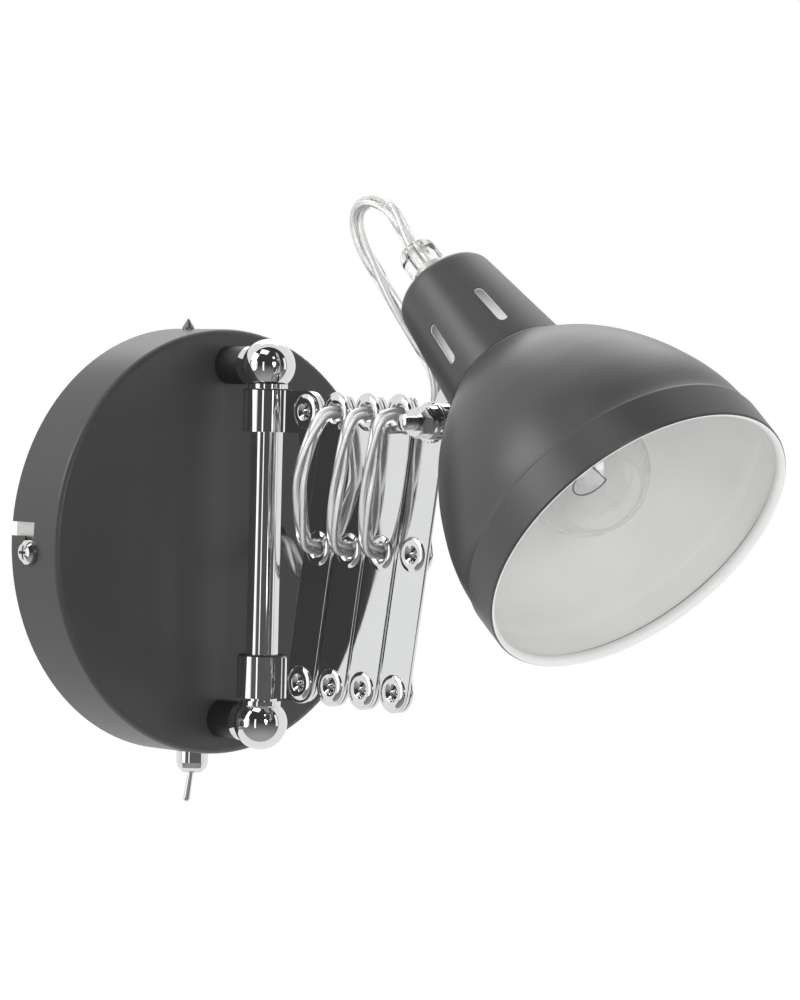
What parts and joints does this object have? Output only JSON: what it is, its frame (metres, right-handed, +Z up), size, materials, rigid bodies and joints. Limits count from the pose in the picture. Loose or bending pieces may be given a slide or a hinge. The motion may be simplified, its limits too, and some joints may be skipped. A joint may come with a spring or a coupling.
{
  "type": "accordion wall lamp",
  "caption": "Wall lamp with a round black canopy and toggle switch, a chromed scissor arm that swings on an upright tube, a clear cable laced through it and a tilting bell shade.",
  "frame": {"origin": "centre of the canopy's back on the wall", "axes": "+Z up, the wall is the plane y = 0 and the lamp reaches out towards -Y, +X is to the right of someone facing the wall"},
  "size_m": [0.1658, 0.2821, 0.2291],
  "materials": {
    "canopy_black": "satin black enamel",
    "shade_black": "satin black enamel, white inside",
    "chrome": "polished chrome plate",
    "zinc_steel": "zinc-plated steel",
    "black_plastic": "moulded black plastic",
    "white_plastic": "white moulded plastic",
    "clear_plastic": "clear flexible PVC",
    "white_ceramic": "white glazed lampholder",
    "brass": "bright brass",
    "clear_glass": "clear glass",
    "aluminium": "plain"
  },
  "bodies": {
    "wall_unit": {"canopy_cover": "canopy_black", "tip_screw": "zinc_steel", "tip_screw_nut": "zinc_steel", "wall_plate": "zinc_steel", "cover_screws": "chrome", "cable_grommet": "clear_plastic", "terminal_block": "white_plastic", "switch_body": "black_plastic", "switch_back_nut": "zinc_steel", "switch_nut": "chrome", "ball_upper": "chrome", "ball_lower": "chrome", "ball_grub_screw": "zinc_steel", "standoff_bushes": "black_plastic", "standoff_screws": "zinc_steel", "slide_tube": "chrome", "cable_wall_run": "clear_plastic"},
    "switch_toggle_lever": {"switch_lever": "chrome"},
    "swing_sleeve": {"sleeve_upper": "chrome", "sleeve_upper_liner": "black_plastic"},
    "falling_0": {"strut_falling_0": "chrome", "rivet_falling_0": "chrome", "cable_back_0": "clear_plastic"},
    "rising_0": {"strut_rising_0": "chrome", "rivets_rising_0": "chrome", "cable_front_0": "clear_plastic"},
    "lower_sleeve": {"sleeve_lower": "chrome", "sleeve_lower_liner": "black_plastic"},
    "rising_1": {"strut_rising_1": "chrome", "rivets_rising_1": "chrome", "cable_front_1": "clear_plastic"},
    "falling_1": {"strut_falling_1": "chrome", "cable_back_1": "clear_plastic"},
    "rising_2": {"strut_rising_2": "chrome", "rivets_rising_2": "chrome", "cable_front_2": "clear_plastic"},
    "falling_2": {"strut_falling_2": "chrome", "cable_back_2": "clear_plastic"},
    "rising_3": {"strut_rising_3": "chrome", "rivets_rising_3": "chrome", "lamp_nut": "chrome", "nut_handle": "chrome", "lock_disc": "chrome", "washer": "chrome"},
    "falling_3": {"strut_falling_3": "chrome"},
    "lamp_head": {"shade": "shade_black", "neck_cup": "shade_black", "head_ear": "chrome", "cable_gland": "clear_plastic", "gland_nipple": "black_plastic", "gland_nut": "zinc_steel", "lamp_holder": "white_ceramic", "shade_ring": "white_ceramic", "bulb_glass": "clear_glass", "bulb_cap": "brass", "bulb_stem": "aluminium", "lamp_bolt": "chrome", "spacer": "chrome", "cable_head_loop": "clear_plastic"}
  },
  "joints": [
    {"name": "switch_toggle", "type": "hinge", "parent": "wall_unit", "child": "switch_toggle_lever", "pos_m": [0, -0.0105, -0.085], "axis": [-1, 0, 0], "range_deg": [0, 24]},
    {"name": "arm_swing", "type": "hinge", "parent": "wall_unit", "child": "swing_sleeve", "pos_m": [0, -0.0497, 0.05], "axis": [0, 0, 1], "range_deg": [-75, 75], "deforming": ["cable_wall_run"]},
    {"name": "arm_extend", "type": "hinge", "parent": "swing_sleeve", "child": "falling_0", "pos_m": [0, -0.0731, 0.05], "axis": [-1, 0, 0], "range_deg": [-0.65, 26]},
    {"name": "middle_pivot_0", "type": "hinge", "parent": "falling_0", "child": "rising_0", "pos_m": [0, -0.0816, 0.00002], "axis": [1, 0, 0], "range_deg": [-1.3, 52]},
    {"name": "lower_sleeve_pivot", "type": "hinge", "parent": "rising_0", "child": "lower_sleeve", "pos_m": [0, -0.0731, -0.04997], "axis": [1, 0, 0], "range_deg": [-26, 0.65]},
    {"name": "low_pivot_1", "type": "hinge", "parent": "falling_0", "child": "rising_1", "pos_m": [0, -0.0901, -0.04997], "axis": [1, 0, 0], "range_deg": [-1.3, 52], "deforming": ["cable_back_0"]},
    {"name": "middle_pivot_1", "type": "hinge", "parent": "rising_1", "child": "falling_1", "pos_m": [0, -0.0986, 0.00002], "axis": [1, 0, 0], "range_deg": [-52, 1.3]},
    {"name": "low_pivot_2", "type": "hinge", "parent": "falling_1", "child": "rising_2", "pos_m": [0, -0.10709, -0.04997], "axis": [1, 0, 0], "range_deg": [-1.3, 52], "deforming": ["cable_back_1"]},
    {"name": "middle_pivot_2", "type": "hinge", "parent": "rising_2", "child": "falling_2", "pos_m": [0, -0.11559, 0.00002], "axis": [1, 0, 0], "range_deg": [-52, 1.3]},
    {"name": "low_pivot_3", "type": "hinge", "parent": "falling_2", "child": "rising_3", "pos_m": [0, -0.12409, -0.04997], "axis": [1, 0, 0], "range_deg": [-1.3, 52], "deforming": ["cable_back_2"]},
    {"name": "middle_pivot_3", "type": "hinge", "parent": "rising_3", "child": "falling_3", "pos_m": [0, -0.13259, 0.00002], "axis": [1, 0, 0], "range_deg": [-52, 1.3]},
    {"name": "head_tilt", "type": "hinge", "parent": "rising_3", "child": "lamp_head", "pos_m": [0, -0.14064, 0.04734], "axis": [1, 0, 0], "range_deg": [-45, 20], "deforming": ["cable_head_loop"]}
  ],
  "couplings": [
    {"joint": "middle_pivot_0", "follows": "arm_extend", "ratio": 2},
    {"joint": "lower_sleeve_pivot", "follows": "arm_extend", "ratio": -1},
    {"joint": "low_pivot_1", "follows": "arm_extend", "ratio": 2},
    {"joint": "middle_pivot_1", "follows": "arm_extend", "ratio": -2},
    {"joint": "low_pivot_2", "follows": "arm_extend", "ratio": 2},
    {"joint": "middle_pivot_2", "follows": "arm_extend", "ratio": -2},
    {"joint": "low_pivot_3", "follows": "arm_extend", "ratio": 2},
    {"joint": "middle_pivot_3", "follows": "arm_extend", "ratio": -2}
  ]
}
